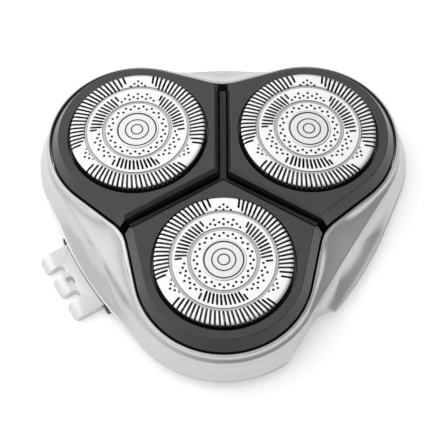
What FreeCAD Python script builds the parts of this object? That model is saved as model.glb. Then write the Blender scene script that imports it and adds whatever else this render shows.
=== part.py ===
"""Three-head shaving unit of a rotary electric shaver: one STEP file per separate piece.

Millimetres and degrees. +Z points up out of the shaving faces, the hinge clip is towards +Y, and the
origin is on the unit's axis in the plane of the rim that it rests on. Each head's pieces are drawn once
with the head towards +X, and turned into their three places.
"""
import FreeCAD
import Part
import math
import os

V = FreeCAD.Vector

# Layout
HEADS = {"front": -90.0, "right": 30.0, "left": 150.0}
SIDES = (-30.0, 90.0, 210.0)         # directions of the three long sides, each between two heads
HEAD_SPACING = 16.0                  # unit axis to a head's centre, at the guard's track
HEAD_TILT = 4.1                      # each head leans outwards
GUARD_HEIGHT = 11.8                  # rest plane to a guard's track, at the head's centre
GAP = 0.3                            # between pieces that move past each other

# Housing outlines: (distance of the lobe arc's centre, lobe radius, side radius, side reach, height).
# A positive side radius bends the side inwards, and a negative one makes it bulge.
OPENING = (16.2, 14.2, 6.5, 18.75, 8.9)
LIP = (16.1, 14.65, 7.5, 19.35, 8.7)
CREASE = (15.8, 15.2, 25.0, 22.9, 6.1)
FOOT = (15.6, 16.7, -64.0, 26.0, 1.6)
CAVITY_TOP = (16.3, 14.1, 8.0, 20.6, 5.0)
CAVITY_FOOT = (16.0, 14.3, 25.0, 21.9, 1.6)
CHASSIS_EDGE = (16.0, 13.9, 25.0, 21.4, 0.0)
RIM_START = 9.3                      # unit axis to where the rim starts to fall, along a head's direction
RIM_SLOPE = 1.0 / 21.0               # how fast the rim falls from there to the lobe's tip

# Finger scoops in the housing's foot
SCOOP_WALL = 23.1                    # unit axis to the scoop's straight wall
SCOOP_END = 8.3                      # the side's middle to the scoop's rounded end
SCOOP_TOP = 5.8
SCOOP_CORNER = 3.5

# Chassis
FLOOR_LOW = 1.2
FLOOR_HIGH = 2.2
SKIRT = 1.2
DRIVE_HOLE_R = 9.4
DRIVE_HOLE_SPACING = 15.4
RIB_HALF = 0.5
RIB_LENGTH = 17.0
RIB_HEIGHT = 9.3
CENTRE_BOSS_R = 2.4

# Pod pivots
PIVOT_REACH = 11.0                   # unit axis to the tilt axis
PIVOT_HEIGHT = 8.0
PIN_R = 0.45
PIN_FIT = 0.05
POST = (12.1, 13.3)                  # inner and outer face of a pivot post, from the head's own plane
POST_HALF = 0.9
POST_TOP = 9.0
PIN_END = 14.6

# Pods: heights with w are measured along the head's axis, from the guard's track
GROOVE_HALF = 0.8
POD_BOTTOM = 4.6
POD_BEVEL = (1.2, 1.9)               # width and height of the outer bevel
POD_FACE_W = -1.0
POD_CHAMFER = 0.55
PLATE_W = -2.7                       # underside of the pod's face
BORE_R = 12.1
WINDOW_R = 11.4

# Guard, cap, cutter and hub
GUARD_R = 11.0
GUARD_WALL = 0.35
GUARD_SHEET = 0.3
FLANGE_R = 11.95
FLANGE_W = (-3.2, -2.8)
TRACK_GROOVES = ((5.2, 5.7), (8.1, 8.6))
TRACK_GROOVE_DEPTH = 0.12
CAP_R = 3.6
CAP_RIM = 0.5
CAP_HIGH = 0.22
CAP_LINE = 0.12                      # width of the line inside the rim
CAP_PIN_R = 1.24
CAP_PIN_END = -1.8
CAP_HOLE_R = 1.3
BLADE_TRACKS = ((6.2, 7.85, 12), (8.95, 10.4, 18))
BLADE_TOP = -0.38
BLADE_FOOT = -2.3
BLADE_THICK = 0.35
BLADE_SLANT = 22.0
CUTTER_PLATE = 0.4
CUTTER_HOLE_R = 5.6
HUB_R = 5.55
HUB_THICK = 1.4
HUB_STEM_R = 3.1
HUB_BOTTOM = -4.4
SOCKET_R = 1.5
SOCKET_DEPTH = 2.4
SOCKET_SLOT = 0.8                    # width of the cross slot at the socket's mouth
SLOT_REACH = 2.4

# Retaining rings and springs
RING_INNER_R = 9.2
RING_W = (-5.0, -4.05)
RING_FIT = 0.08
LUG_R = 12.45
LUG_GROOVE_R = 12.6
LUG_W = (-4.7, -4.1)
LUG_ANGLES = (60.0, 180.0, 300.0)
LUG_ARC = 16.0
RING_TURN = 25.0
TAB_R = (11.5, 9.7)                  # finger tabs under the ring
TAB_LOW = -5.9
WAVE_R = (11.2, 11.9)
WAVE_W = (-3.95, -3.3)
WAVE_THICK = 0.15
WAVE_ARC = 16.0
COIL_REACH = 28.75
COIL_R = 0.8
COIL_WIRE_R = 0.14
COIL_TURNS = 3.5
COIL_FIT = 0.04

# Screws
BOSS_REACH = 20.2
BOSS_R = 1.4
PILLAR_R = 1.3
BOSS_TOP = 5.9
SCREW_R = 0.7
SCREW_FIT = 0.1
SCREW_SLOT = 0.3
SCREW_HEAD_R = 1.15
SCREW_HEAD_LOW = 0.5
SCREW_TOP = 4.6

# Hinge clip
CLIP_AXIS = (25.1, 0.8)              # Y and Z of its hinge
CLIP_HALF = 6.3
CLIP_LOW = 0.1
CLIP_HIGH = 1.5
CLIP_TIP = 30.8
CLIP_BAR_END = 28.1
CLIP_GAPS = ((-3.2, -1.7), (1.9, 3.4))
CLIP_WINDOW = (0.1, 28.3, 0.85, 0.6)  # X and Y of its middle, half width and half length
HINGE_PIN_R = 0.35
HINGE_BORE_R = 0.4
EAR_GAP = 0.2
EAR_WIDTH = 1.0
EAR_ROOT = 19.5
EAR_TIP = 25.75
EAR_LOW = 0.05
EAR_HIGH = 1.55


def polar(radius, degrees, z=0.0):
    a = math.radians(degrees)
    return V(radius * math.cos(a), radius * math.sin(a), z)


def mirrored(p, degrees):
    """The point mirrored in the vertical plane through the axis in that direction."""
    return polar(math.hypot(p.x, p.y), 2 * degrees - math.degrees(math.atan2(p.y, p.x)), p.z)


def arc(a, b, c):
    return Part.Arc(a, b, c).toShape()


def tangent_points(centre_reach, lobe_r, side_r, side_reach, z):
    """Ends of the straight run between the lobe arc about +X and the side arc about 60 degrees."""
    lobe = V(centre_reach, 0, 0)
    side = polar(side_reach + side_r, 60)
    between = side - lobe
    swing = math.degrees(math.acos((lobe_r + side_r) / between.Length))
    normal = polar(1, math.degrees(math.atan2(between.y, between.x)) - swing)
    lift = V(0, 0, z)
    return lobe + normal * lobe_r + lift, side - normal * side_r + lift


def trefoil(centre_reach, lobe_r, side_r, side_reach, z):
    """Closed outline of three lobe arcs and three side arcs, joined by tangent runs."""
    lobe_end, side_end = tangent_points(centre_reach, lobe_r, side_r, side_reach, z)
    edges = []
    for head in sorted(HEADS.values()):
        turned = [turn_point(p, head) for p in (lobe_end, side_end)]
        tip = polar(centre_reach + lobe_r, head, z)
        middle = polar(side_reach, head + 60, z)
        edges.append(arc(mirrored(turned[0], head), tip, turned[0]))
        edges.append(Part.makeLine(turned[0], turned[1]))
        far = mirrored(turned[1], head + 60)
        edges.append(arc(turned[1], middle, far))
        edges.append(Part.makeLine(far, mirrored(turned[0], head + 60)))
    return Part.Wire(edges)


def turn_point(p, degrees):
    return polar(math.hypot(p.x, p.y), math.degrees(math.atan2(p.y, p.x)) + degrees, p.z)


def prism(outline, low, high):
    """Straight solid over one outline."""
    face = Part.Face(trefoil(*outline[:4], low))
    return face.extrude(V(0, 0, high - low))


def layered(*outlines):
    """Solid through outlines of the same kind, from the lowest to the highest."""
    layers = []
    for low, high in zip(outlines, outlines[1:]):
        layers.append(Part.makeLoft([trefoil(*low), trefoil(*high)], True, True))
    return layers[0].fuse(layers[1:]).removeSplitter() if len(layers) > 1 else layers[0]


def box(low, high):
    return Part.makeBox(high[0] - low[0], high[1] - low[1], high[2] - low[2], V(*low))


def rod(radius, low, high, x=0.0, y=0.0):
    return Part.makeCylinder(radius, high - low, V(x, y, low))


def tube(outer, inner, low, high):
    return rod(outer, low, high).cut(rod(inner, low - 1, high + 1))


def turned(shape, degrees):
    copy = shape.copy()
    copy.rotate(V(0, 0, 0), V(0, 0, 1), degrees)
    return copy


def on_head(shape):
    """Moves a shape drawn about its own axis onto the leaning axis of the head towards +X."""
    copy = shape.copy()
    copy.rotate(V(0, 0, 0), V(0, 1, 0), HEAD_TILT)
    copy.translate(V(HEAD_SPACING, 0, GUARD_HEIGHT))
    return copy


def both_sides(shape):
    return [shape, shape.mirror(V(0, 0, 0), V(0, 1, 0))]


def face_height(x):
    """Height of the pod's face at a distance from the unit's axis."""
    lean = math.radians(HEAD_TILT)
    return GUARD_HEIGHT + (POD_FACE_W - math.sin(lean) * (x - HEAD_SPACING)) / math.cos(lean)


# Housing and chassis

def housing():
    shell = layered(FOOT, CREASE, LIP, OPENING)
    shell = shell.cut(layered(CAVITY_FOOT, CAVITY_TOP))
    shell = shell.cut(prism(OPENING, CAVITY_TOP[4] - 0.01, OPENING[4] + 1))
    shell = shell.cut(prism(CAVITY_FOOT, 0, CAVITY_FOOT[4] + 0.01))
    for head in HEADS.values():
        shell = shell.cut(turned(above_rim(), head))
    for side in SIDES:
        boss = rod(BOSS_R, FLOOR_HIGH, BOSS_TOP, BOSS_REACH)
        hole = rod(SCREW_R, FLOOR_HIGH - 1, SCREW_TOP + 0.3, BOSS_REACH)
        shell = shell.fuse(turned(boss, side)).cut(turned(hole, side))
    for side, hand in ((-30.0, 1), (210.0, -1)):
        shell = shell.cut(turned(scoop(hand), side))
    return shell.removeSplitter()


def above_rim():
    """Wedge over the lobe towards +X, whose underside falls outwards."""
    high = OPENING[4]
    far = 40.0
    fall = (far - RIM_START) * RIM_SLOPE
    corners = [V(RIM_START, 0, high), V(far, 0, high - fall), V(far, 0, high + 1), V(RIM_START, 0, high + 1)]
    side = Part.Face(Part.makePolygon(corners + corners[:1]))
    wedge = side.extrude(V(0, far, 0))
    return wedge.fuse(wedge.mirror(V(0, 0, 0), V(0, 1, 0))).common(wedge_sector(-60, 60))


def scoop(hand):
    """Rounded recess on the side towards +X; hand says towards which end it lies."""
    start = SCOOP_END + SCOOP_CORNER
    block = box((SCOOP_WALL, start, 0), (SCOOP_WALL + 10, start + 16, SCOOP_TOP))
    end = box((SCOOP_WALL + SCOOP_CORNER, SCOOP_END, 0), (SCOOP_WALL + 10, start, SCOOP_TOP))
    corner = rod(SCOOP_CORNER, 0, SCOOP_TOP, SCOOP_WALL + SCOOP_CORNER, start)
    shape = block.fuse([end, corner])
    return shape if hand > 0 else shape.mirror(V(0, 0, 0), V(0, 1, 0))


def chassis():
    frame = prism(CHASSIS_EDGE, 0, FLOOR_HIGH)
    inner = (CHASSIS_EDGE[0], CHASSIS_EDGE[1] - SKIRT, CHASSIS_EDGE[2] + SKIRT, CHASSIS_EDGE[3] - SKIRT)
    frame = frame.cut(prism(inner, -1, FLOOR_LOW))
    for head in HEADS.values():
        hole = rod(DRIVE_HOLE_R, 0, FLOOR_HIGH + 1, DRIVE_HOLE_SPACING)
        frame = frame.cut(turned(hole, head))
    adds = []
    for side in SIDES:
        rib = box((-RIB_HALF, -RIB_HALF, FLOOR_LOW), (RIB_LENGTH, RIB_HALF, RIB_HEIGHT))
        pillar = rod(PILLAR_R, 0, FLOOR_HIGH, BOSS_REACH)
        adds += [turned(rib, side), turned(pillar, side)]
    for head in HEADS.values():
        post = post_box(FLOOR_LOW, 0.0)
        adds += [turned(p, head) for p in both_sides(post)]
    ear = box((CLIP_HALF + EAR_GAP, EAR_ROOT, EAR_LOW), (CLIP_HALF + EAR_GAP + EAR_WIDTH, EAR_TIP, EAR_HIGH))
    adds += [ear, ear.mirror(V(0, 0, 0), V(1, 0, 0))]
    adds.append(rod(CENTRE_BOSS_R, 0, FLOOR_HIGH))
    frame = frame.fuse(adds)
    cuts = [hinge_rod(HINGE_PIN_R, CLIP_HALF + 3)]
    for side in SIDES:
        cuts.append(turned(rod(SCREW_R + SCREW_FIT, -1, FLOOR_HIGH + 1, BOSS_REACH), side))
        cuts.append(turned(rod(SCREW_HEAD_R, -1, FLOOR_LOW, BOSS_REACH), side))
    for head in HEADS.values():
        cuts.append(turned(pivot_rod(PIN_R), head))
        cuts.append(turned(pivot_rod(PIN_R).mirror(V(0, 0, 0), V(0, 1, 0)), head))
    return frame.cut(cuts).removeSplitter()


def post_box(low, room):
    """Pivot post on one side of the head towards +X, or with room round it, the pod's pocket for it."""
    near = (PIVOT_REACH - POST_HALF - room, POST[0] - room, low)
    far = (PIVOT_REACH + POST_HALF + room, POST[1] + room, POST_TOP + room)
    return box(near, far)


def pivot_rod(radius, end=PIN_END):
    return Part.makeCylinder(radius, end - POST[0], V(PIVOT_REACH, POST[0], PIVOT_HEIGHT), V(0, 1, 0))


def hinge_rod(radius, half):
    return Part.makeCylinder(radius, 2 * half, V(-half, *CLIP_AXIS), V(1, 0, 0))


def pivot_pins():
    pins = []
    for head in HEADS.values():
        pins += [turned(p, head) for p in both_sides(pivot_rod(PIN_R))]
    return Part.makeCompound(pins)


def chassis_screws():
    screws = []
    for side in SIDES:
        screw = rod(SCREW_R, SCREW_HEAD_LOW, SCREW_TOP).fuse(rod(SCREW_HEAD_R, SCREW_HEAD_LOW, FLOOR_LOW))
        half = SCREW_SLOT / 2
        slot = box((-SCREW_HEAD_R, -half, 0), (SCREW_HEAD_R, half, SCREW_HEAD_LOW + SCREW_SLOT))
        screw = screw.cut(slot)
        screw.translate(V(BOSS_REACH, 0, 0))
        screws.append(turned(screw, side))
    return Part.makeCompound(screws)


# Pods

def pod_wire(inset, z, groove=GROOVE_HALF):
    """Outline of the pod towards +X, inset on its outer side, with its groove walls left where they are."""
    reach, lobe_r, side_r, side_reach = OPENING[:4]
    lobe_r -= GAP + inset
    side_r += GAP + inset
    side_reach -= GAP + inset
    lobe_end, side_end = tangent_points(reach, lobe_r, side_r, side_reach, z)
    along = side_reach + side_r - math.sqrt(side_r ** 2 - groove ** 2)
    groove_end = polar(along, 60, z) + polar(groove, -30)
    nose_centre = polar(side_reach + side_r, 60, z)
    half_way = (side_end - nose_centre).normalize() + (groove_end - nose_centre).normalize()
    nose_middle = nose_centre + half_way.normalize() * side_r
    corner = V(2 * groove / math.sqrt(3), 0, z)
    points = [groove_end, nose_middle, side_end, lobe_end]
    low = [V(p.x, -p.y, p.z) for p in points]
    edges = [
        Part.makeLine(corner, low[0]),
        arc(low[0], low[1], low[2]),
        Part.makeLine(low[2], low[3]),
        arc(low[3], V(reach + lobe_r, 0, z), points[3]),
        Part.makeLine(points[3], points[2]),
        arc(points[2], points[1], points[0]),
        Part.makeLine(points[0], corner),
    ]
    return Part.Wire(edges)


def groove_chamfer():
    """Wedge that takes the top edge off the groove wall at 60 degrees."""
    inwards = polar(1, -30)
    fall = math.tan(math.radians(HEAD_TILT)) * math.cos(math.radians(60))
    along = V(math.cos(math.radians(60)), math.sin(math.radians(60)), -fall)
    start = polar(-1, 60) + inwards * GROOVE_HALF
    start.z = face_height(start.x)

    def at(depth, rise):
        return start + inwards * depth + V(0, 0, rise)

    reach = 1.5
    corners = [at(-reach, -reach - POD_CHAMFER), at(-reach, reach), at(reach + POD_CHAMFER, reach)]
    wedge = Part.Face(Part.makePolygon(corners + corners[:1]))
    return wedge.extrude(along * (RIB_LENGTH + 8))


def pod_bevel():
    """Leaning frustum that leaves the pod its outer bevel."""
    width, height = POD_BEVEL
    face = GUARD_HEIGHT + POD_FACE_W
    wires = [
        pod_wire(-2 * width, face - 3 * height, -width),
        pod_wire(2 * width, face + height, -width),
    ]
    frustum = Part.makeLoft(wires, True, True)
    frustum.rotate(V(HEAD_SPACING, 0, GUARD_HEIGHT), V(0, 1, 0), HEAD_TILT)
    return frustum


def pod_cover():
    pod = Part.Face(pod_wire(0, POD_BOTTOM)).extrude(V(0, 0, GUARD_HEIGHT + 1 - POD_BOTTOM))
    low = box((-5, -25, 0), (40, 25, GUARD_HEIGHT + POD_FACE_W - 2 * POD_BEVEL[1] + 0.5))
    pod = pod.common(pod_bevel().fuse(low))
    above = box((-40, -40, POD_FACE_W), (40, 40, POD_FACE_W + 20))
    cuts = [on_head(above), on_head(rod(WINDOW_R, -6, 2)), on_head(rod(BORE_R, -12, PLATE_W))]
    cuts.append(on_head(tube(LUG_GROOVE_R, BORE_R - 1, LUG_W[0] - RING_FIT, LUG_W[1] + RING_FIT)))
    for angle in LUG_ANGLES:
        half = math.radians(LUG_ARC / 2 + 2) * LUG_GROOVE_R
        entry = box((BORE_R - 1, -half, -12), (LUG_GROOVE_R, half, LUG_W[0]))
        cuts.append(on_head(turned(entry, angle + RING_TURN)))
    cuts += both_sides(groove_chamfer())
    cuts += both_sides(post_box(0, GAP))
    cuts += both_sides(pivot_rod(PIN_R + PIN_FIT, PIN_END + 0.1))
    return pod.cut(cuts).removeSplitter()


def retaining_ring():
    ring = tube(BORE_R - RING_FIT, RING_INNER_R, *RING_W)
    sector = LUG_ARC / 2
    for angle in LUG_ANGLES:
        lug = tube(LUG_R, BORE_R - 1, *LUG_W).common(wedge_sector(angle - sector, angle + sector))
        ring = ring.fuse(lug)
    for angle in (90, 270):
        tab = tube(*TAB_R, TAB_LOW, RING_W[0] + 0.1)
        ring = ring.fuse(tab.common(wedge_sector(angle - sector, angle + sector)))
    return on_head(ring.removeSplitter())


def wedge_sector(start, end):
    far = 40
    corners = [V(0, 0, -20), polar(far, start, -20), polar(far, end, -20), V(0, 0, -20)]
    return Part.Face(Part.makePolygon(corners)).extrude(V(0, 0, 40))


def guard():
    profile = [(0, -GUARD_SHEET), (0, 0)]
    for inner, outer in TRACK_GROOVES:
        profile += [(inner, 0), (inner, -TRACK_GROOVE_DEPTH), (outer, -TRACK_GROOVE_DEPTH), (outer, 0)]
    wall = GUARD_R - GUARD_WALL
    profile += [(GUARD_R, 0), (GUARD_R, FLANGE_W[1]), (FLANGE_R, FLANGE_W[1]), (FLANGE_R, FLANGE_W[0])]
    profile += [(wall, FLANGE_W[0]), (wall, -GUARD_SHEET)]
    cap = revolved(profile)
    cap = cap.cut(rod(CAP_HOLE_R, -2, 2))
    return on_head(cap)


def revolved(profile):
    corners = [V(r, 0, w) for r, w in profile]
    face = Part.Face(Part.makePolygon(corners + corners[:1]))
    return face.revolve(V(0, 0, 0), V(0, 0, 1), 360)


def guard_cap():
    rim = CAP_R - CAP_RIM
    line = rim + CAP_LINE
    profile = [(0, CAP_PIN_END), (0, CAP_HIGH), (rim, CAP_HIGH), (rim, CAP_HIGH / 2), (line, CAP_HIGH / 2)]
    profile += [(line, CAP_HIGH), (CAP_R, CAP_HIGH), (CAP_R, 0), (CAP_PIN_R, 0), (CAP_PIN_R, CAP_PIN_END)]
    return on_head(revolved(profile))


def wave_spring():
    """Thin ring that rises and falls between the guard's flange and the retaining ring."""
    low, high = WAVE_W
    middle = (low + high) / 2
    spring = tube(WAVE_R[1], WAVE_R[0], middle - WAVE_THICK, middle + WAVE_THICK)
    for i in range(6):
        crest = wedge_sector(60 * i - WAVE_ARC / 2, 60 * i + WAVE_ARC / 2)
        ends = (middle, high) if i % 2 else (low, middle)
        spring = spring.fuse(tube(WAVE_R[1], WAVE_R[0], *ends).common(crest))
    return on_head(spring.removeSplitter())


def cutter():
    plate = tube(BLADE_TRACKS[1][1], CUTTER_HOLE_R, BLADE_FOOT - CUTTER_PLATE, BLADE_FOOT)
    blades = []
    for inner, outer, count in BLADE_TRACKS:
        for i in range(count):
            length = outer - inner
            half = BLADE_THICK / 2
            blade = box((-length / 2, -half, BLADE_FOOT - 0.1), (length / 2, half, BLADE_TOP))
            blade.rotate(V(0, 0, 0), V(0, 0, 1), BLADE_SLANT)
            blade.translate(V((inner + outer) / 2, 0, 0))
            blades.append(turned(blade, 360.0 * i / count))
    return on_head(plate.fuse(blades).removeSplitter())


def cutter_hub():
    low = BLADE_FOOT - CUTTER_PLATE
    top = low + HUB_THICK
    hub = rod(HUB_R, low, top).fuse(rod(HUB_STEM_R, HUB_BOTTOM, top))
    cuts = [rod(CAP_PIN_R + PIN_FIT, CAP_PIN_END - 0.1, 0)]
    cuts.append(rod(SOCKET_R, HUB_BOTTOM - 1, HUB_BOTTOM + SOCKET_DEPTH))
    half = SOCKET_SLOT / 2
    cuts.append(box((-SLOT_REACH, -half, HUB_BOTTOM - 1), (SLOT_REACH, half, HUB_BOTTOM + SOCKET_DEPTH / 2)))
    return on_head(hub.cut(cuts).removeSplitter())


def pod_spring():
    """Compression coil between the chassis floor and the pod's outer wall."""
    low = FLOOR_HIGH + COIL_WIRE_R + COIL_FIT
    high = POD_BOTTOM - COIL_WIRE_R - COIL_FIT
    helix = Part.makeHelix((high - low) / COIL_TURNS, high - low, COIL_R)
    section = Part.Wire(Part.makeCircle(COIL_WIRE_R, V(COIL_R, 0, 0), V(0, 1, 0)))
    coil = Part.Wire(helix.Edges).makePipeShell([section], True, True)
    coil.translate(V(COIL_REACH, 0, low))
    return coil


# Hinge clip

def hinge_clip():
    """E-shaped snap plate: a bar on the hinge, two arms and a middle tongue with a round-ended window."""
    y_axis, z_axis = CLIP_AXIS
    plate = box((-CLIP_HALF, y_axis, CLIP_LOW), (CLIP_HALF, CLIP_TIP, CLIP_HIGH))
    through = (CLIP_LOW - 1, CLIP_HIGH + 1)
    x, y, half_width, half_length = CLIP_WINDOW
    window = box((x - half_width, y - half_length, through[0]), (x + half_width, y + half_length, through[1]))
    cuts = [window]
    for low, high in CLIP_GAPS:
        half = (high - low) / 2
        cuts.append(box((low, CLIP_BAR_END + half, through[0]), (high, CLIP_TIP + 1, through[1])))
        cuts.append(rod(half, *through, (low + high) / 2, CLIP_BAR_END + half))
    # the underside rises towards the arms' tips, and the tips' upper edge slopes down
    cuts.append(clip_wedge(CLIP_TIP - 3.5, CLIP_LOW, 1.1))
    cuts.append(clip_wedge(CLIP_TIP - 1.2, CLIP_HIGH, -1.1))
    plate = plate.cut(cuts)
    barrel = hinge_rod(z_axis - CLIP_LOW, CLIP_HALF)
    return plate.fuse(barrel).cut(hinge_rod(HINGE_BORE_R, CLIP_HALF + 1)).removeSplitter()


def clip_wedge(start, height, rise):
    """Wedge right across the clip, from one height at its start to a rise past the tip."""
    far = CLIP_TIP + 2
    wide = CLIP_HALF + 1
    corners = [V(-wide, start, height), V(-wide, far, height), V(-wide, far, height + rise)]
    return Part.Face(Part.makePolygon(corners + corners[:1])).extrude(V(2 * wide, 0, 0))


def hinge_pin():
    return hinge_rod(HINGE_PIN_R, CLIP_HALF + EAR_GAP + EAR_WIDTH)


def save(shape, name):
    shape.exportStep(os.path.join("parts", name + ".step"))
    sound = shape.isValid() and shape.Volume > 0
    print(f"{name:24s} solids {len(shape.Solids)}  volume {shape.Volume:9.2f}  {'ok' if sound else 'BAD'}")


def main():
    os.makedirs("parts", exist_ok=True)
    singles = {
        "housing": housing,
        "chassis": chassis,
        "pivot_pins": pivot_pins,
        "chassis_screws": chassis_screws,
        "hinge_clip": hinge_clip,
        "hinge_pin": hinge_pin,
    }
    for name, make in singles.items():
        save(make(), name)
    per_head = {
        "pod_cover": pod_cover,
        "retaining_ring": retaining_ring,
        "wave_spring": wave_spring,
        "pod_spring": pod_spring,
        "guard": guard,
        "guard_cap": guard_cap,
        "cutter": cutter,
        "cutter_hub": cutter_hub,
    }
    for name, make in per_head.items():
        shape = make()
        for head, angle in HEADS.items():
            save(turned(shape, angle), f"{name}_{head}")


main()
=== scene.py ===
"""Looks of the three-head shaving unit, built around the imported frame.

Lengths are millimetres until a mesh is finished, when it is scaled to metres. A head's turned pieces are
drawn about their own axis, with height w measured from the guard's track, and placed with that head's
matrix. The pods are drawn for the head towards +X, and turned into their three places.
"""

import math

import bmesh
import bpy
from mathutils import Matrix, Vector
from mathutils.geometry import delaunay_2d_cdt


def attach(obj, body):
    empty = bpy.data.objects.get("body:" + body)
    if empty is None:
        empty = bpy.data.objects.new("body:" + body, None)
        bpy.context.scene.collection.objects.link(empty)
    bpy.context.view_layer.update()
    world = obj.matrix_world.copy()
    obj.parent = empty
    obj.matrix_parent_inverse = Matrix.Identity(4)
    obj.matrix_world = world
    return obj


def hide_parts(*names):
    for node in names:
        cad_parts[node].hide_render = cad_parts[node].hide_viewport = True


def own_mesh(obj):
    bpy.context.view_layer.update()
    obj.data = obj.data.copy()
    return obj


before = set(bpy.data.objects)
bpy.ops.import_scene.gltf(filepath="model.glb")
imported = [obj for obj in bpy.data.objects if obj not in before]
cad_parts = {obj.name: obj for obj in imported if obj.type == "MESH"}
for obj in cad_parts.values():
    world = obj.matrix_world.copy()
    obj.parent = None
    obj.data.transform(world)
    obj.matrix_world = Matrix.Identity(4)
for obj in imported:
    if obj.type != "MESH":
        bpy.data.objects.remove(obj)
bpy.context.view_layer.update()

MM = 0.001
HEADS = {"front": -90.0, "right": 30.0, "left": 150.0}
HEAD_SPACING = 16.0                  # unit axis to a head's centre
HEAD_TILT = 4.1                      # each head leans outwards
GUARD_HEIGHT = 11.8                  # rest plane to a guard's track

# Housing outlines: (distance of the lobe arc's centre, lobe radius, side radius, side reach, height)
OPENING = (16.2, 14.2, 6.5, 18.75, 8.9)
LIP = (16.1, 14.65, 7.5, 19.35, 8.7)
CREASE = (15.8, 15.2, 25.0, 22.9, 6.1)
FOOT = (15.6, 16.7, -64.0, 26.0, 1.6)
CAVITY_TOP = (16.3, 14.1, 8.0, 20.6, 5.0)
CAVITY_FOOT = (16.0, 14.3, 25.0, 21.9, 1.6)
RIM_START, RIM_SLOPE = 9.3, 1 / 21   # where the rim starts to fall along a head's direction, and how fast
LOBE_STEPS, RUN_STEPS, SIDE_STEPS = 26, 10, 14
LIP_ROUND = 0.14
CREASE_GROOVE = 0.16
BAND_HOLLOW = 0.36                   # how far the band above the crease is hollowed
WAIST = 0.3                          # how far the cheek is hollowed between crease and foot
FOOT_ROUND = 0.35
BAND_SHARES = (0.04, 0.12, 0.25, 0.4, 0.55, 0.7, 0.85, 0.96)
CHEEK_STEPS = 18
CHEEK_SHARE = 0.93                   # the rounded foot edge takes up the rest
SCOOP_WALL, SCOOP_END, SCOOP_TOP, SCOOP_CORNER = 23.1, 8.3, 5.8, 3.5
SCOOP_REACH, SCOOP_FAR_END = 36.0, 30.0

# Hinge clip
CLIP_AXIS = (25.1, 0.8)              # Y and Z of its hinge
CLIP_HALF, CLIP_LOW, CLIP_HIGH = 6.3, 0.1, 1.5
CLIP_ROOT, CLIP_BAR_END, CLIP_TIP = 25.3, 28.1, 30.79
CLIP_EDGE, CLIP_TAPER, CLIP_TIP_DROP = 0.14, 2.2, 0.75
HINGE_BORE_R = 0.4
CLIP_GAPS = ((-3.2, -1.7), (1.9, 3.4))
CLIP_WINDOW = (0.1, 28.3, 0.85, 0.6)  # X and Y of its middle, half width and half length

# Pods: drops are measured down from the face, and heights with w along the head's axis
GAP = 0.3
GROOVE_HALF = 0.8
POD_BOTTOM = 4.6
POD_FACE_W = -1.0
POD_BEVEL = (1.2, 1.9)               # width and height of the outer bevel
POD_CHAMFER = 0.55                   # along the groove
POD_DROPS = (2.1, 1.96, 1.86, 1.7, 1.3, 0.9, 0.64, 0.55, 0.46, 0.2, 0.07)
EDGE_ROUND = 0.06
BORE_PROFILE = (
    (11.5, -1.0), (11.43, -1.03), (11.4, -1.1), (11.4, -2.7), (12.1, -2.7), (12.1, -4.02), (12.6, -4.02),
    (12.6, -4.78), (12.1, -4.78),
)
PIVOT = (11.0, 8.0)                  # X and Z of the tilt axis
POST = (12.1, 13.3, 0.9, 9.0)        # inner and outer face, half length and top of a pivot post
PIN_REACH, PIN_HOLE_R = 14.7, 0.5
LUG_ENTRIES = (85.0, 205.0, 325.0)
LUG_ENTRY_HALF, LUG_ENTRY_R, LUG_ENTRY_W = 2.2, (11.4, 12.58), -4.5

# Springs
WAVE_R, WAVE_W, WAVE_THICK = (11.2, 11.9), (-3.95, -3.3), 0.2
COIL_REACH, COIL_R, COIL_WIRE_R, COIL_TURNS = 28.75, 0.8, 0.14, 3.5
COIL_Z = (2.38, 4.4)                 # height of the wire's middle at both ends

# Guard sheet: (radius, height) from the middle out and down to the flange
GUARD_PROFILE = (
    (1.3, 0.0), (3.2, 0.0), (5.1, 0.0), (5.2, -0.18), (5.6, -0.18), (5.7, 0.0), (7.0, 0.02), (8.1, 0.0),
    (8.2, -0.18), (8.55, -0.18), (8.65, 0.0), (10.35, 0.0), (10.72, -0.05), (10.93, -0.2), (11.0, -0.42),
    (11.0, -1.5), (11.0, -2.85), (11.1, -3.0), (11.9, -3.0),
)
GUARD_THICK = 0.16
TURN_STEPS = 120
GROUPS = (0.0, 120.0, 240.0)         # middles of the slit groups; the hole groups lie between
INNER_HOLES, INNER_ROWS = 20, (4.65, 4.2)
MIDDLE_SLITS, OUTER_SLITS = 12, 23   # in each group
SLIT_HALF = 0.19
SLIT_LEAN = 9.0
HOLE_R = 0.23
PAINTED_SHADE_TOP = -0.5                   # below this the guard is painted black, as painted shade under the pod's window
GROOVE_SHADE_BANDS = ((5.1, 5.7), (8.1, 8.65))   # grooves between the tracks, painted darker as painted shade, and rougher
CAP_R = 3.6
# Ring grooves of the cap are painted dark; in the outer groove under the rim's step this is painted shade.
CAP_LINES = ((0.82, 1.02), (1.77, 1.97), (3.0, 3.22))


def polar(radius, degrees, z=0.0):
    a = math.radians(degrees)
    return Vector((radius * math.cos(a), radius * math.sin(a), z))


def spin(degrees):
    return Matrix.Rotation(math.radians(degrees), 4, "Z")


def head_matrix(head):
    """Places a piece drawn about its own axis, in metres, on a head's leaning axis."""
    lean = Matrix.Rotation(math.radians(HEAD_TILT), 4, "Y")
    move = Matrix.Translation(Vector((HEAD_SPACING, 0, GUARD_HEIGHT)) * MM)
    return spin(HEADS[head]) @ move @ lean


# Meshes

def finish_mesh(bm, name, sharp=30.0):
    """Scales to metres, shades smooth and keeps edges over an angle crisp."""
    bmesh.ops.scale(bm, vec=(MM, MM, MM), verts=bm.verts)
    bmesh.ops.recalc_face_normals(bm, faces=bm.faces)
    for face in bm.faces:
        face.smooth = True
    limit = math.radians(sharp)
    for edge in bm.edges:
        edge.smooth = not edge.is_manifold or edge.calc_face_angle(0.0) < limit
    mesh = bpy.data.meshes.new(name)
    bm.to_mesh(mesh)
    bm.free()
    return mesh


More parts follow.
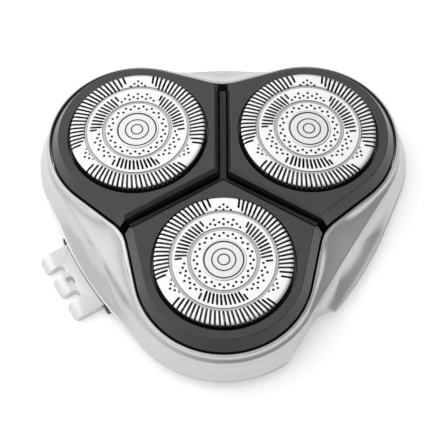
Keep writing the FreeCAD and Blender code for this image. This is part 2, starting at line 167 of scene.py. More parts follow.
def add_piece(name, mesh, look, body, nodes, matrix=None):
    piece = bpy.data.objects.new(name, mesh)
    bpy.context.scene.collection.objects.link(piece)
    if matrix is not None:
        piece.matrix_world = matrix
    for each in look if isinstance(look, tuple) else (look,):
        if each.name not in mesh.materials:
            mesh.materials.append(each)
    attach(piece, body)
    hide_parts(*nodes)
    return piece


def turned_solid(profile, steps=96):
    """Closed solid of revolution from (radius, height) points round its section."""
    bm = bmesh.new()
    rows = []
    for i in range(steps):
        rows.append([bm.verts.new(polar(r, 360 * i / steps, w)) for r, w in profile])
    for i, row in enumerate(rows):
        after = rows[(i + 1) % steps]
        for k in range(len(profile)):
            j = (k + 1) % len(profile)
            bm.faces.new((row[k], row[j], after[j], after[k]))
    bmesh.ops.remove_doubles(bm, verts=bm.verts, dist=1e-5)
    return bm


# Housing

def tangent_heading(reach, lobe_r, side_r, side_reach):
    """Direction of the straight run's outward normal, between lobe arc and side arc."""
    between = polar(side_reach + side_r, 60) - Vector((reach, 0, 0))
    heading = math.degrees(math.atan2(between.y, between.x))
    return (heading - math.degrees(math.acos((lobe_r + side_r) / between.length))) % 360


def half_sector(centre_reach, lobe_r, side_r, side_reach):
    """Points from the head axis at 0 degrees to the side's middle at 60 degrees."""
    lobe = Vector((centre_reach, 0, 0))
    side = polar(side_reach + side_r, 60)
    normal_at = tangent_heading(centre_reach, lobe_r, side_r, side_reach)
    lobe_end = lobe + polar(lobe_r, normal_at)
    side_end = side - polar(side_r, normal_at)
    points = [lobe + polar(lobe_r, normal_at * i / LOBE_STEPS) for i in range(LOBE_STEPS)]
    points += [lobe_end.lerp(side_end, i / RUN_STEPS) for i in range(RUN_STEPS)]
    for i in range(SIDE_STEPS + 1):
        points.append(side - polar(side_r, normal_at + (60 - normal_at) * i / SIDE_STEPS))
    return points


def trefoil(outline):
    """Closed loop of points; the same place in two loops has the same number."""
    half = half_sector(*outline[:4])
    flipped = [Vector((p.x, -p.y, 0)) for p in reversed(half[1:-1])]
    flipped = [spin(120) @ p for p in flipped]
    loop = []
    for angle in sorted(HEADS.values()):
        loop += [spin(angle) @ p for p in half + flipped]
    return [Vector((p.x, p.y, outline[4])) for p in loop]


def pushed(loop, out, lift=0.0):
    """The loop moved outwards in its own plane, and up."""
    moved = []
    for i, p in enumerate(loop):
        along = loop[(i + 1) % len(loop)] - loop[i - 1]
        normal = Vector((along.y, -along.x, 0)).normalized()
        moved.append(p + normal * out + Vector((0, 0, lift)))
    return moved


def blended(low, high, share):
    return [a.lerp(b, share) for a, b in zip(low, high)]


def lowered(loop, z):
    return [Vector((p.x, p.y, z)) for p in loop]


def fallen(loop):
    """The loop with the rim's fall towards the lobes' tips."""
    moved = []
    for p in loop:
        reach = max(p.dot(polar(1, head)) for head in HEADS.values())
        moved.append(p - Vector((0, 0, max(0.0, reach - RIM_START) * RIM_SLOPE)))
    return moved


def housing_rows():
    opening, lip, crease, foot = (trefoil(o) for o in (OPENING, LIP, CREASE, FOOT))
    opening, lip = fallen(opening), fallen(lip)
    rows = [lowered(opening, CAVITY_TOP[4])]
    for angle in (0, 30, 60, 90):
        a = math.radians(angle)
        rows.append(pushed(opening, LIP_ROUND * (1 - math.cos(a)), LIP_ROUND * (math.sin(a) - 1)))
    for share in (0.6, 0.85, 1.0):
        rows.append(blended(opening, lip, share))
    for share in BAND_SHARES:
        rows.append(pushed(blended(lip, crease, share), -BAND_HOLLOW * math.sin(math.pi * share)))
    rows.append(pushed(crease, -CREASE_GROOVE, -0.02))
    for i in range(1, CHEEK_STEPS + 1):
        share = i / CHEEK_STEPS
        hollow = -WAIST * math.sin(math.pi * min(1.0, share * 1.06)) ** 1.5
        rows.append(pushed(blended(crease, foot, share * CHEEK_SHARE), hollow if share < 0.94 else 0))
    for angle in (20, 40, 60, 80, 90):
        a = math.radians(angle)
        rows.append(pushed(foot, FOOT_ROUND * (math.cos(a) - 1), FOOT_ROUND * (1 - math.sin(a))))
    rows.append(trefoil(CAVITY_FOOT))
    rows.append(trefoil(CAVITY_TOP))
    return rows


def woven(loops):
    """Closed skin through loops that have the same number of points, the last joined to the first."""
    bm = bmesh.new()
    rows = [[bm.verts.new(p) for p in loop] for loop in loops]
    for i, row in enumerate(rows):
        after = rows[(i + 1) % len(rows)]
        for k in range(len(row)):
            j = (k + 1) % len(row)
            bm.faces.new((row[k], row[j], after[j], after[k]))
    bmesh.ops.recalc_face_normals(bm, faces=bm.faces)
    return bm


def scoop_cutter(side, hand):
    """Rounded prism that takes the finger scoop out of the housing's foot."""
    start = SCOOP_END + SCOOP_CORNER
    outline = [(SCOOP_REACH, SCOOP_END), (SCOOP_REACH, SCOOP_FAR_END), (SCOOP_WALL, SCOOP_FAR_END)]
    for angle in range(180, 271, 6):
        corner = polar(SCOOP_CORNER, angle)
        outline.append((SCOOP_WALL + SCOOP_CORNER + corner.x, start + corner.y))
    bm = bmesh.new()
    loops = []
    for z in (-1.0, SCOOP_TOP):
        loops.append([bm.verts.new(spin(side) @ Vector((n, t * hand, z))) for n, t in outline])
    bm.faces.new(loops[0])
    bm.faces.new(loops[1])
    for k in range(len(outline)):
        j = (k + 1) % len(outline)
        bm.faces.new((loops[0][k], loops[0][j], loops[1][j], loops[1][k]))
    bmesh.ops.recalc_face_normals(bm, faces=bm.faces)
    return bm


def carved(bm, cutters):
    """The solid with the cutters taken out, as a new bmesh."""
    def as_object(part, label):
        mesh = bpy.data.meshes.new(label)
        part.to_mesh(mesh)
        part.free()
        thing = bpy.data.objects.new(label, mesh)
        bpy.context.scene.collection.objects.link(thing)
        return thing

    body = as_object(bm, "carve_body")
    tools = [as_object(cutter, "carve_tool") for cutter in cutters]
    for tool in tools:
        cut = body.modifiers.new("cut", "BOOLEAN")
        cut.operation = "DIFFERENCE"
        cut.solver = "EXACT"
        cut.object = tool
    bpy.context.view_layer.update()
    depsgraph = bpy.context.evaluated_depsgraph_get()
    result = bmesh.new()
    result.from_mesh(body.evaluated_get(depsgraph).to_mesh())
    for thing in (body, *tools):
        bpy.data.objects.remove(thing)
    return result


def make_housing(look):
    scoops = [scoop_cutter(-30.0, 1), scoop_cutter(210.0, -1)]
    mesh = finish_mesh(carved(woven(housing_rows()), scoops), "housing_shell", 24)
    add_piece("housing_shell", mesh, look, "frame", ["housing"])


# Pods

def pod_loop(inset, groove):
    """Outline of the pod towards +X, inset on its outer side, between its two groove walls."""
    reach, lobe_r, side_r, side_reach = OPENING[:4]
    lobe_r -= GAP + inset
    side_r += GAP + inset
    side_reach -= GAP + inset
    normal_at = tangent_heading(reach, lobe_r, side_r, side_reach)
    lobe, side = Vector((reach, 0, 0)), polar(side_reach + side_r, 60)
    lobe_end, side_end = lobe + polar(lobe_r, normal_at), side - polar(side_r, normal_at)
    last_at = 60 + math.degrees(math.asin(groove / side_r))
    groove_end = side - polar(side_r, last_at)
    corner = Vector((2 * groove / math.sqrt(3), 0, 0))
    half = [lobe + polar(lobe_r, normal_at * i / LOBE_STEPS) for i in range(LOBE_STEPS)]
    half += [lobe_end.lerp(side_end, i / RUN_STEPS) for i in range(RUN_STEPS)]
    for i in range(SIDE_STEPS):
        half.append(side - polar(side_r, normal_at + (last_at - normal_at) * i / SIDE_STEPS))
    half += [groove_end.lerp(corner, i / SIDE_STEPS) for i in range(SIDE_STEPS + 1)]
    return half + [Vector((p.x, -p.y, 0)) for p in reversed(half[1:-1])]


def leaning():
    """Matrix of the leaning frame of the head towards +X, in millimetres."""
    lean = Matrix.Rotation(math.radians(HEAD_TILT), 4, "Y")
    return Matrix.Translation((HEAD_SPACING, 0, GUARD_HEIGHT)) @ lean


def pod_rows():
    """Loops up the pod's outer side, over its face, and down its window and bore."""
    lean = math.radians(HEAD_TILT)

    def face_height(x):
        return GUARD_HEIGHT + (POD_FACE_W - math.sin(lean) * (x - HEAD_SPACING)) / math.cos(lean)

    width, height = POD_BEVEL
    rows = [lowered(pod_loop(0, GROOVE_HALF), POD_BOTTOM)]
    for drop in POD_DROPS:
        inset = max(0.0, width * (1 - drop / height))
        groove = GROOVE_HALF + max(0.0, POD_CHAMFER - drop)
        rows.append([Vector((p.x, p.y, face_height(p.x) - drop)) for p in pod_loop(inset, groove)])
    top = pod_loop(width + EDGE_ROUND, GROOVE_HALF + POD_CHAMFER + EDGE_ROUND)
    rows.append([Vector((p.x, p.y, face_height(p.x))) for p in top])
    turns = [math.atan2(p.y, p.x - HEAD_SPACING) for p in top]
    place = leaning()
    for radius, w in BORE_PROFILE:
        rows.append([place @ Vector((radius * math.cos(a), radius * math.sin(a), w)) for a in turns])
    last_r = BORE_PROFILE[-1][0]
    foot = []
    for a in turns:
        w = (POD_BOTTOM - GUARD_HEIGHT + last_r * math.cos(a) * math.sin(lean)) / math.cos(lean)
        foot.append(place @ Vector((last_r * math.cos(a), last_r * math.sin(a), w)))
    rows.append(foot)
    return rows


def block(low, high):
    bm = bmesh.new()
    bmesh.ops.create_cube(bm, size=1)
    for v in bm.verts:
        v.co = Vector((v.co[k] + 0.5) * (high[k] - low[k]) + low[k] for k in range(3))
    return bm


def pod_cutters():
    """Pockets for the pivot posts, holes for the pins and entries for the ring's lugs."""
    x, z = PIVOT
    inner, outer, half, top = POST
    cutters = []
    for side in (1, -1):
        ends = sorted((side * (inner - GAP), side * (outer + GAP)))
        cutters.append(block((x - half - GAP, ends[0], 0), (x + half + GAP, ends[1], top + GAP)))
        pin = bmesh.new()
        middle = Matrix.Translation((x, side * (inner + PIN_REACH) / 2, z))
        bmesh.ops.create_cone(
            pin, cap_ends=True, segments=24, radius1=PIN_HOLE_R, radius2=PIN_HOLE_R,
            depth=PIN_REACH - inner, matrix=middle @ Matrix.Rotation(math.pi / 2, 4, "X"))
        cutters.append(pin)
    for angle in LUG_ENTRIES:
        entry = block((LUG_ENTRY_R[0], -LUG_ENTRY_HALF, -12), (LUG_ENTRY_R[1], LUG_ENTRY_HALF, LUG_ENTRY_W))
        entry.transform(leaning() @ spin(angle))
        cutters.append(entry)
    return cutters


def make_pods(look):
    solid = woven(pod_rows())
    mesh = finish_mesh(carved(solid, pod_cutters()), "pod_shell", 22)
    for head, angle in HEADS.items():
        copy = mesh.copy()
        copy.transform(spin(angle))
        cover = [f"pod_cover_{head}"]
        add_piece(f"pod_shell_{head}", copy, look, f"pod_{head}", cover)


# Guards

def slit_ends(inner, outer, degrees):
    """End points of a leaning slit, in the flattened sheet."""
    start = polar(inner, degrees)
    swing = math.degrees(math.tan(math.radians(SLIT_LEAN)) * (outer - inner) / outer)
    return start, polar(outer, degrees + swing)


def guard_openings():
    """(one end, other end, half width) of every slit and hole in the flattened sheet."""
    openings = []
    inner_step = 360 / INNER_HOLES
    for i in range(INNER_HOLES):
        openings.append(hole(INNER_ROWS[0], inner_step * i))
        openings.append(hole(INNER_ROWS[1], inner_step * (i + 0.5)))
    for group in GROUPS:
        for i in range(MIDDLE_SLITS):
            short = 0.75 if i in (0, MIDDLE_SLITS - 1) else 0.0
            angle = group + (i - (MIDDLE_SLITS - 1) / 2) * 5.4 - 2
            openings.append((*slit_ends(6.15 + short, 7.75, angle), SLIT_HALF))
        for i in range(OUTER_SLITS):
            from_end = min(i, OUTER_SLITS - 1 - i)
            short = (0.9, 0.45)[from_end] if from_end < 2 else 0.0
            angle = group + (i - (OUTER_SLITS - 1) / 2) * 4.22 - 1
            openings.append((*slit_ends(8.98 + short, 12.0, angle), SLIT_HALF))
        middle = group + 60
        for i in range(9):
            openings.append(hole(6.75 if i % 2 else 6.4, middle + (i - 4) * 6.2))
        for i in range(3):
            openings.append(hole(7.3, middle + (i - 1) * 12.4))
            openings.append(hole(9.15, middle + (i - 1) * 7.6))
        for i in range(2):
            openings.append(hole(9.6, middle + (i - 0.5) * 7.6))
        openings.append(hole(10.05, middle))
    return openings


def hole(radius, degrees):
    middle = polar(radius, degrees)
    return middle, middle, HOLE_R


def opening_outline(start, end, half):
    """Round-ended outline round the line between two points."""
    along = end - start
    heading = math.degrees(math.atan2(along.y, along.x)) if along.length else 0.0
    outline = [end + polar(half, heading - 90 + 45 * i) for i in range(5)]
    outline += [start + polar(half, heading + 90 + 45 * i) for i in range(5)]
    return outline if along.length else outline[:4] + outline[5:9]


def inside_opening(point, opening):
    start, end, half = opening
    along = end - start
    share = 0.0
    if along.length:
        share = max(0.0, min(1.0, (point - start).dot(along) / along.length_squared))
    return (point - start - along * share).length < half * 0.97


def sheet_lengths():
    """Distance of each profile point from the axis, measured along the sheet."""
    lengths = [GUARD_PROFILE[0][0]]
    for (r0, w0), (r1, w1) in zip(GUARD_PROFILE, GUARD_PROFILE[1:]):
        lengths.append(lengths[-1] + math.hypot(r1 - r0, w1 - w0))
    return lengths


def guard_mesh():
    """Perforated steel sheet: cut flat, then formed over the guard's profile."""
    lengths = sheet_lengths()
    openings = guard_openings()
    points, edges = [], []

    def add_loop(loop):
        first = len(points)
        points.extend(p.to_2d() for p in loop)
        for k in range(len(loop)):
            edges.append((first + k, first + (k + 1) % len(loop)))

    for length in lengths:
        add_loop([polar(length, 360 * i / TURN_STEPS) for i in range(TURN_STEPS)])
    for opening in openings:
        add_loop(opening_outline(*opening))
    flat, _, triangles, *_ = delaunay_2d_cdt(points, edges, [], 1, 1e-5)
    cells = {}
    for opening in openings:
        middle = (opening[0] + opening[1]) / 2
        cells.setdefault(cell_of(middle), []).append(opening)

    bm = bmesh.new()
    verts = [bm.verts.new(formed(p, lengths)) for p in flat]
    for triangle in triangles:
        centre = sum((flat[i] for i in triangle), Vector((0, 0))) / 3
        centre = centre.to_3d()
        if centre.length < lengths[0]:
            continue
        x, y = cell_of(centre)
        near = [o for i in (-1, 0, 1) for j in (-1, 0, 1) for o in cells.get((x + i, y + j), [])]
        if not any(inside_opening(centre, o) for o in near):
            bm.faces.new([verts[i] for i in triangle])
    loose = [v for v in bm.verts if not v.link_faces]
    bmesh.ops.delete(bm, geom=loose, context="VERTS")
    bmesh.ops.recalc_face_normals(bm, faces=bm.faces)
    if sum(f.normal.z for f in bm.faces) < 0:
        bmesh.ops.reverse_faces(bm, faces=bm.faces)
    bmesh.ops.solidify(bm, geom=bm.faces[:], thickness=GUARD_THICK)
    for face in bm.faces:
        middle = face.calc_center_median()
        radius = middle.to_2d().length
        # Faces low on the guard's wall take the black material: painted shade where the pod's window shades
        # the wall.
        if middle.z < PAINTED_SHADE_TOP:
            face.material_index = 1
        # Faces in the grooves take the darker, rougher groove steel: its darker colour is painted shade in
        # the grooves.
        elif any(low < radius < high for low, high in GROOVE_SHADE_BANDS):
            face.material_index = 2
    return finish_mesh(bm, "guard_sheet", 28)


def cell_of(point):
    """Square of a coarse grid, so that only near openings are searched."""
    return round(point.x / 1.5), round(point.y / 1.5)


def formed(point, lengths):
    """Where a point of the flat sheet goes once the sheet is formed."""
    length = point.length
    for k in range(1, len(lengths)):
        if length <= lengths[k] or k == len(lengths) - 1:
            share = (length - lengths[k - 1]) / (lengths[k] - lengths[k - 1])
            (r0, w0), (r1, w1) = GUARD_PROFILE[k - 1], GUARD_PROFILE[k]
            radius = r0 + (r1 - r0) * share
            across = Vector((point.x, point.y, 0)) * (radius / length)
            return across + Vector((0, 0, w0 + (w1 - w0) * share))


def cap_mesh():
    """Turned centre cap: raised rim, two fine rings and a slightly domed middle."""
    profile = [
        (0.0, 0.2), (0.8, 0.19), (0.86, 0.15), (0.98, 0.15), (1.04, 0.19), (1.75, 0.18), (1.81, 0.14),
        (1.93, 0.14), (1.99, 0.17), (2.98, 0.14), (3.06, 0.05), (3.16, 0.05), (3.24, 0.17), (3.42, 0.2),
        (3.56, 0.14), (CAP_R, 0.0), (1.24, 0.0), (1.24, -1.8), (0.0, -1.8),
    ]
    bm = turned_solid(profile)
    for face in bm.faces:
        middle = face.calc_center_median()
        radius = middle.to_2d().length
        # Faces in the ring grooves take the dark line steel; in the outer groove it is painted shade.
        if middle.z > 0 and any(low < radius < high for low, high in CAP_LINES):
            face.material_index = 1
    return finish_mesh(bm, "cap_turned", 28)


def make_guards(steel, cap_steel):
    sheet, cap = guard_mesh(), cap_mesh()
    for head in HEADS:
        unit = f"guard_unit_{head}"
        place = head_matrix(head)
        add_piece(f"guard_sheet_{head}", sheet, steel, unit, [f"guard_{head}"], place)
        add_piece(f"cap_disc_{head}", cap, cap_steel, unit, [f"guard_cap_{head}"], place)


# Springs

def wave_mesh():
    """Thin ring with three waves, drawn about the head's axis."""
    inner, outer = WAVE_R
    low, high = WAVE_W
    lift = (high - low - WAVE_THICK) / 2
    bm = bmesh.new()
    rows = []
    for i in range(TURN_STEPS):
        angle = 360 * i / TURN_STEPS
        middle = (low + high) / 2 + lift * math.cos(math.radians(3 * angle))
        section = ((inner, -1), (outer, -1), (outer, 1), (inner, 1))
        rows.append([bm.verts.new(polar(r, angle, middle + side * WAVE_THICK / 2)) for r, side in section])
    for i, row in enumerate(rows):
        after = rows[(i + 1) % len(rows)]
        for k in range(4):
            j = (k + 1) % 4
            bm.faces.new((row[k], row[j], after[j], after[k]))
    return finish_mesh(bm, "wave_ring", 30)


def coil_mesh():
    """Coil spring that stands on the chassis floor, drawn about its own axis."""
    steps, sides = int(COIL_TURNS * 28), 10
    low, high = COIL_Z
    bm = bmesh.new()
    rows = []
    for i in range(steps + 1):
        angle = 360 * COIL_TURNS * i / steps
        z = low + (high - low) * i / steps
        row = []
        for k in range(sides):
            out = polar(COIL_WIRE_R, 360 * k / sides)
            row.append(bm.verts.new(polar(COIL_R + out.x, angle, z + out.y)))
        rows.append(row)
    for row, after in zip(rows, rows[1:]):
        for k in range(sides):
            j = (k + 1) % sides
            bm.faces.new((row[k], row[j], after[j], after[k]))
    bm.faces.new(rows[0])
    bm.faces.new(rows[-1])
    return finish_mesh(bm, "coil", 40)


def make_springs(wire):
    wave, coil = wave_mesh(), coil_mesh()
    for head, angle in HEADS.items():
        place = head_matrix(head)
        ring = add_piece(
            f"wave_ring_{head}", wave, wire, f"pod_{head}", [f"wave_spring_{head}"], place)
        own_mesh(ring)
        stand = Matrix.Translation(polar(COIL_REACH * MM, angle))
        spring = add_piece(
            f"coil_{head}", coil, wire, "frame", [f"pod_spring_{head}"], stand)
        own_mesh(spring)


# Hinge clip

def clip_outline():
    """Corners of the E-shaped plate, each with the radius it is rounded to."""
    (left_in, left_out), (right_in, right_out) = CLIP_GAPS
    root, tip = CLIP_BAR_END, CLIP_TIP
    return (
        (-CLIP_HALF, CLIP_ROOT, 0.2), (CLIP_HALF, CLIP_ROOT, 0.2), (CLIP_HALF, tip, 0.9),
        (right_out, tip, 0.5), (right_out, root, 0.7), (right_in, root, 0.7), (right_in, tip, 0.85),
        (left_out, tip, 0.85), (left_out, root, 0.7), (left_in, root, 0.7), (left_in, tip, 0.5),
        (-CLIP_HALF, tip, 0.9),
    )


def rounded(corners, steps=5):
    """Closed loop with every corner turned into an arc."""
    loop = []
    for i, (x, y, radius) in enumerate(corners):
        here = Vector((x, y, 0))
        before = Vector((*corners[i - 1][:2], 0)) - here
        after = Vector((*corners[(i + 1) % len(corners)][:2], 0)) - here
        start, end = here + before.normalized() * radius, here + after.normalized() * radius
        centre = start + end - here
        for k in range(steps + 1):
            swing = math.radians(90 * k / steps)
            loop.append(centre + (start - centre) * math.cos(swing) + (end - centre) * math.sin(swing))
    return loop


def clip_mesh():
    """Plate cut from its flat outline, thinned towards the tips, with a barrel for the pin."""
    outline = rounded(clip_outline())
    x, y, half_width, half_length = CLIP_WINDOW
    corners = [(x - half_width, y - half_length), (x + half_width, y - half_length)]
    corners += [(x + half_width, y + half_length), (x - half_width, y + half_length)]
    window = rounded([(*c, 0.45) for c in corners])
    points, edges = [], []
    for loop in (outline, window):
        first = len(points)
        points.extend(p.to_2d() for p in loop)
        for k in range(len(loop)):
            edges.append((first + k, first + (k + 1) % len(loop)))
    flat, _, triangles, *_ = delaunay_2d_cdt(points, edges, [], 1, 1e-5)
    bm = bmesh.new()
    verts = [bm.verts.new((p.x, p.y, CLIP_HIGH)) for p in flat]
    for triangle in triangles:
        centre = sum((flat[i] for i in triangle), Vector((0, 0))) / 3
        if in_loop(centre, outline) and not in_loop(centre, window):
            bm.faces.new([verts[i] for i in triangle])
    bmesh.ops.dissolve_limit(bm, angle_limit=0.01, verts=bm.verts, edges=bm.edges)
    solid = bmesh.ops.extrude_face_region(bm, geom=bm.faces[:])
    for v in solid["geom"]:
        if isinstance(v, bmesh.types.BMVert):
            v.co.z = CLIP_LOW
    bmesh.ops.recalc_face_normals(bm, faces=bm.faces)
    level = [e for e in bm.edges if abs(e.verts[0].co.z - e.verts[1].co.z) < 1e-6]
    rim = [e for e in level if e.is_manifold and e.calc_face_angle(0.0) > 1]
    bmesh.ops.bevel(
        bm, geom=rim, offset=CLIP_EDGE, segments=2, profile=0.5, affect="EDGES", clamp_overlap=True)
    for y_cut in (CLIP_BAR_END, CLIP_TIP - 2, CLIP_TIP - 1.5, CLIP_TIP - 1, CLIP_TIP - 0.5):
        everything = bm.verts[:] + bm.edges[:] + bm.faces[:]
        bmesh.ops.bisect_plane(bm, geom=everything, plane_co=(0, y_cut, 0), plane_no=(0, 1, 0))
    for v in bm.verts:
        past = max(0.0, v.co.y - (CLIP_TIP - CLIP_TAPER)) / CLIP_TAPER
        rise = (v.co.z - CLIP_LOW) / (CLIP_HIGH - CLIP_LOW)
        v.co.z -= rise * CLIP_TIP_DROP * past ** 2
    middle_y, middle_z = CLIP_AXIS
    radius = middle_z - CLIP_LOW
    ring = [(math.cos(math.radians(20 * i)), math.sin(math.radians(20 * i))) for i in range(18)]
    rows = []
    half, ease = CLIP_HALF, 0.12
    section = [(-half, radius - ease), (-half + ease, radius), (half - ease, radius), (half, radius - ease)]
    for reach, r in section + [(half, HINGE_BORE_R), (-half, HINGE_BORE_R)]:
        rows.append([bm.verts.new((reach, middle_y + r * c, middle_z + r * s)) for c, s in ring])
    for i, row in enumerate(rows):
        after = rows[(i + 1) % len(rows)]
        for k in range(len(ring)):
            j = (k + 1) % len(ring)
            bm.faces.new((row[k], row[j], after[j], after[k]))
    return finish_mesh(bm, "clip_plate", 35)


def in_loop(point, loop):
    """Whether a point lies inside a closed loop."""
    inside = False
    for i, a in enumerate(loop):
        b = loop[i - 1]
        if (a.y > point.y) != (b.y > point.y):
            if point.x < (b.x - a.x) * (point.y - a.y) / (b.y - a.y) + a.x:
                inside = not inside
    return inside


# Materials

def new_material(name, colour, roughness, metallic=0.0):
    look = bpy.data.materials.new(name)
    look.use_nodes = True
    shader = look.node_tree.nodes["Principled BSDF"]
    shader.inputs["Base Color"].default_value = (*colour, 1)
    shader.inputs["Roughness"].default_value = roughness
    shader.inputs["Metallic"].default_value = metallic
    return look, shader


def add_node(look, kind, **inputs):
    node = look.node_tree.nodes.new(kind)
    for key, value in inputs.items():
        node.inputs[key.replace("_", " ").title()].default_value = value
    return node


def grain(look, shader, scale, colours, roughness, bump):
    """Fine random variation of colour, roughness and surface height."""
    link = look.node_tree.links.new
    place = add_node(look, "ShaderNodeTexCoord")
    noise = add_node(look, "ShaderNodeTexNoise", scale=scale, detail=5.0, roughness=0.55)
    link(place.outputs["Object"], noise.inputs["Vector"])
    ramp = add_node(look, "ShaderNodeValToRGB")
    ramp.color_ramp.elements[0].position = 0.3
    ramp.color_ramp.elements[1].position = 0.7
    for element, colour in zip(ramp.color_ramp.elements, colours):
        element.color = (*colour, 1)
    link(noise.outputs["Fac"], ramp.inputs["Fac"])
    link(ramp.outputs["Color"], shader.inputs["Base Color"])
    spread = add_node(look, "ShaderNodeMapRange", to_min=roughness[0], to_max=roughness[1])
    link(noise.outputs["Fac"], spread.inputs["Value"])
    link(spread.outputs["Result"], shader.inputs["Roughness"])
    relief = add_node(look, "ShaderNodeBump", strength=bump[0], distance=bump[1] * MM)
    link(noise.outputs["Fac"], relief.inputs["Height"])
    link(relief.outputs["Normal"], shader.inputs["Normal"])
    return place, relief


def turning_marks(look, place, relief, period, strength):
    """Concentric lathe marks about the piece's own axis."""
    link = look.node_tree.links.new
    rings = add_node(look, "ShaderNodeTexWave", scale=2 * math.pi / (20 * period * MM), distortion=0.6)
    rings.wave_type = "RINGS"
    rings.rings_direction = "Z"
    link(place.outputs["Object"], rings.inputs["Vector"])
    marks = add_node(look, "ShaderNodeBump", strength=strength, distance=0.01 * MM)
    link(rings.outputs["Fac"], marks.inputs["Height"])
    link(marks.outputs["Normal"], relief.inputs["Normal"])


def silver_paint(name="silver_paint", light=0.6):
    dark = light * 0.93
    look, shader = new_material(name, (light,) * 3, 0.3, 0.9)
    colours = ((dark, dark, dark * 1.01), (light, light, light * 1.01))
    grain(look, shader, 5200, colours, (0.26, 0.34), (0.05, 0.02))
    shader.inputs["Coat Weight"].default_value = 0.25
    shader.inputs["Coat Roughness"].default_value = 0.2
    return look


def black_gloss(name="black_gloss"):
    look, shader = new_material(name, (0.012,) * 3, 0.2)
    grain(look, shader, 1800, ((0.010,) * 3, (0.016,) * 3), (0.16, 0.24), (0.03, 0.01))
    shader.inputs["Coat Weight"].default_value = 0.3
    shader.inputs["Coat Roughness"].default_value = 0.08
    return look


def matte_plastic(name, tone):
    look, shader = new_material(name, (tone,) * 3, 0.5)
    grain(look, shader, 3800, ((tone * 0.8,) * 3, (tone * 1.2,) * 3), (0.42, 0.6), (0.25, 0.02))
    return look


def steel(name, light, roughness, period=0.0, scale=3000):
    look, shader = new_material(name, (light,) * 3, roughness, 1.0)
    dark = light * 0.92
    place, relief = grain(
        look, shader, scale, ((dark,) * 3, (light,) * 3), (roughness * 0.8, roughness * 1.3), (0.04, 0.01))
    if period:
        turning_marks(look, place, relief, period, 0.25)
    return look


def paint_node(name, look):
    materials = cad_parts[name].data.materials
    materials.clear()
    materials.append(look)


# Stage

AIM = Vector((-6.2895, 3.5488, 7.6906)) * MM
VIEW_AZIMUTH, VIEW_ELEVATION, VIEW_ROLL = 239.87, 60.356, -0.217
VIEW_DISTANCE = 329.13 * MM
LENS, SENSOR = 165.86, 36.0
FLOOR_GLOW = 0.32
FLOOR_GAP = 0.02 * MM                # keeps the floor clear of the rim that rests on it
BRIGHT_SIDE = (120, 38)              # azimuth and elevation the room is brightest towards
DIM_LIGHT, BRIGHT_LIGHT = 0.4, 1.3
HORIZON_SHARE = 0.4                  # how much of that light is left at the horizon


def towards(azimuth, elevation):
    """Direction from the object, with azimuth 0 towards -Y and 90 towards +X."""
    a, e = math.radians(azimuth), math.radians(elevation)
    return Vector((math.sin(a) * math.cos(e), -math.cos(a) * math.cos(e), math.sin(e)))


def make_camera():
    back = towards(VIEW_AZIMUTH, VIEW_ELEVATION)
    right = polar(1, VIEW_AZIMUTH)
    upright = Matrix((right, back.cross(right), back)).transposed().to_4x4()
    camera = bpy.data.objects.new("camera", bpy.data.cameras.new("camera"))
    camera.data.lens = LENS
    camera.data.sensor_width = SENSOR
    camera.data.clip_start = 0.01
    roll = Matrix.Rotation(math.radians(VIEW_ROLL), 4, "Z")
    camera.matrix_world = Matrix.Translation(AIM + back * VIEW_DISTANCE) @ upright @ roll
    bpy.context.scene.collection.objects.link(camera)
    bpy.context.scene.camera = camera


def softbox(name, azimuth, elevation, distance, size, radiance):
    """Square area light that faces the object, with its brightness as seen in a mirror."""
    data = bpy.data.lights.new(name, "AREA")
    data.shape = "SQUARE"
    data.size = size
    data.energy = radiance * math.pi * size * size
    lamp = bpy.data.objects.new(name, data)
    direction = towards(azimuth, elevation)
    facing = direction.to_track_quat("Z", "Y").to_matrix().to_4x4()
    lamp.matrix_world = Matrix.Translation(direction * distance) @ facing
    bpy.context.scene.collection.objects.link(lamp)


def make_floor():
    bm = bmesh.new()
    bmesh.ops.create_grid(bm, x_segments=8, y_segments=8, size=3000)
    floor = bpy.data.objects.new("floor", finish_mesh(bm, "floor"))
    floor.location.z = -FLOOR_GAP
    look, shader = new_material("pale_floor", (0.9,) * 3, 0.8)
    grain(look, shader, 40, ((0.89,) * 3, (0.91,) * 3), (0.75, 0.85), (0.0, 0.01))
    shader.inputs["Emission Color"].default_value = (1, 1, 1, 1)
    shader.inputs["Emission Strength"].default_value = FLOOR_GLOW
    floor.data.materials.append(look)
    bpy.context.scene.collection.objects.link(floor)


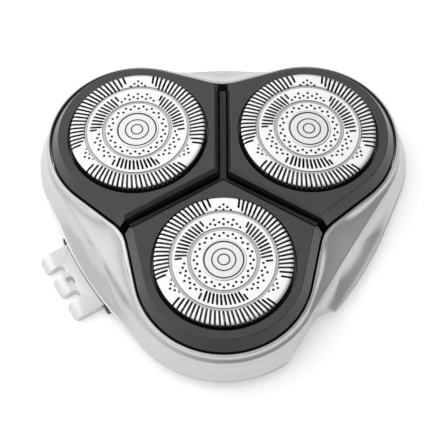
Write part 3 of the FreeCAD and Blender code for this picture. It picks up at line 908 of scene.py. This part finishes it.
def make_world():
    world = bpy.data.worlds.new("studio")
    world.use_nodes = True
    nodes, link = world.node_tree.nodes, world.node_tree.links.new
    direction = nodes.new("ShaderNodeTexCoord")
    facing = nodes.new("ShaderNodeVectorMath")
    facing.operation = "DOT_PRODUCT"
    facing.inputs[1].default_value = towards(*BRIGHT_SIDE)
    rise = nodes.new("ShaderNodeMapRange")
    rise.interpolation_type = "SMOOTHSTEP"
    rise.inputs["From Min"].default_value = -0.3
    rise.inputs["From Max"].default_value = 0.95
    rise.inputs["To Min"].default_value = DIM_LIGHT
    rise.inputs["To Max"].default_value = BRIGHT_LIGHT
    parts = nodes.new("ShaderNodeSeparateXYZ")
    dusk = nodes.new("ShaderNodeMapRange")
    dusk.inputs["From Max"].default_value = 0.4
    dusk.inputs["To Min"].default_value = HORIZON_SHARE
    strength = nodes.new("ShaderNodeMath")
    strength.operation = "MULTIPLY"
    link(direction.outputs["Generated"], facing.inputs[0])
    link(direction.outputs["Generated"], parts.inputs["Vector"])
    link(facing.outputs["Value"], rise.inputs["Value"])
    link(parts.outputs["Z"], dusk.inputs["Value"])
    link(rise.outputs["Result"], strength.inputs[0])
    link(dusk.outputs["Result"], strength.inputs[1])
    link(strength.outputs["Value"], nodes["Background"].inputs["Strength"])
    nodes["Background"].inputs["Color"].default_value = (1, 1, 1, 1)
    bpy.context.scene.world = world
    bpy.context.scene.view_settings.view_transform = "Standard"


def main():
    make_world()
    make_floor()
    make_camera()
    softbox("far_key", 120, 45, 0.7, 0.3, 0.8)

    shell = silver_paint()
    gloss = black_gloss()
    make_housing(shell)
    bright = steel("guard_steel", 0.84, 0.16, 0.16)
    # Darker steel for the grooves between the tracks: painted shade, with a rougher finish.
    groove_shade = steel("groove_steel_painted_shade", 0.5, 0.4)
    # Dark steel for the cap's ring grooves; in the outer groove it is painted shade.
    lines = steel("cap_line_steel", 0.12, 0.4)
    make_guards((bright, gloss, groove_shade), (steel("cap_steel", 0.75, 0.22, 0.1), lines))
    make_pods(gloss)
    clip_look = silver_paint("clip_silver", 0.62)
    add_piece("clip_plate", clip_mesh(), clip_look, "clip", ["hinge_clip"])

    black = matte_plastic("chassis_plastic", 0.02)
    ring = matte_plastic("ring_plastic", 0.03)
    hub = matte_plastic("hub_plastic", 0.025)
    # Cutter steel made dark: painted shade, so the guard's slits read black as in deep shade.
    shaded_cutter_steel = steel("cutter_steel", 0.12, 0.35)
    wire = steel("spring_steel", 0.65, 0.3)
    pin = steel("pin_steel", 0.75, 0.25)
    screw = steel("screw_steel", 0.7, 0.3)
    make_springs(wire)
    paint_node("chassis", black)
    paint_node("pivot_pins", pin)
    paint_node("hinge_pin", pin)
    paint_node("chassis_screws", screw)
    for head in HEADS:
        paint_node(f"retaining_ring_{head}", ring)
        paint_node(f"cutter_hub_{head}", hub)
        paint_node(f"cutter_{head}", shaded_cutter_steel)


main()
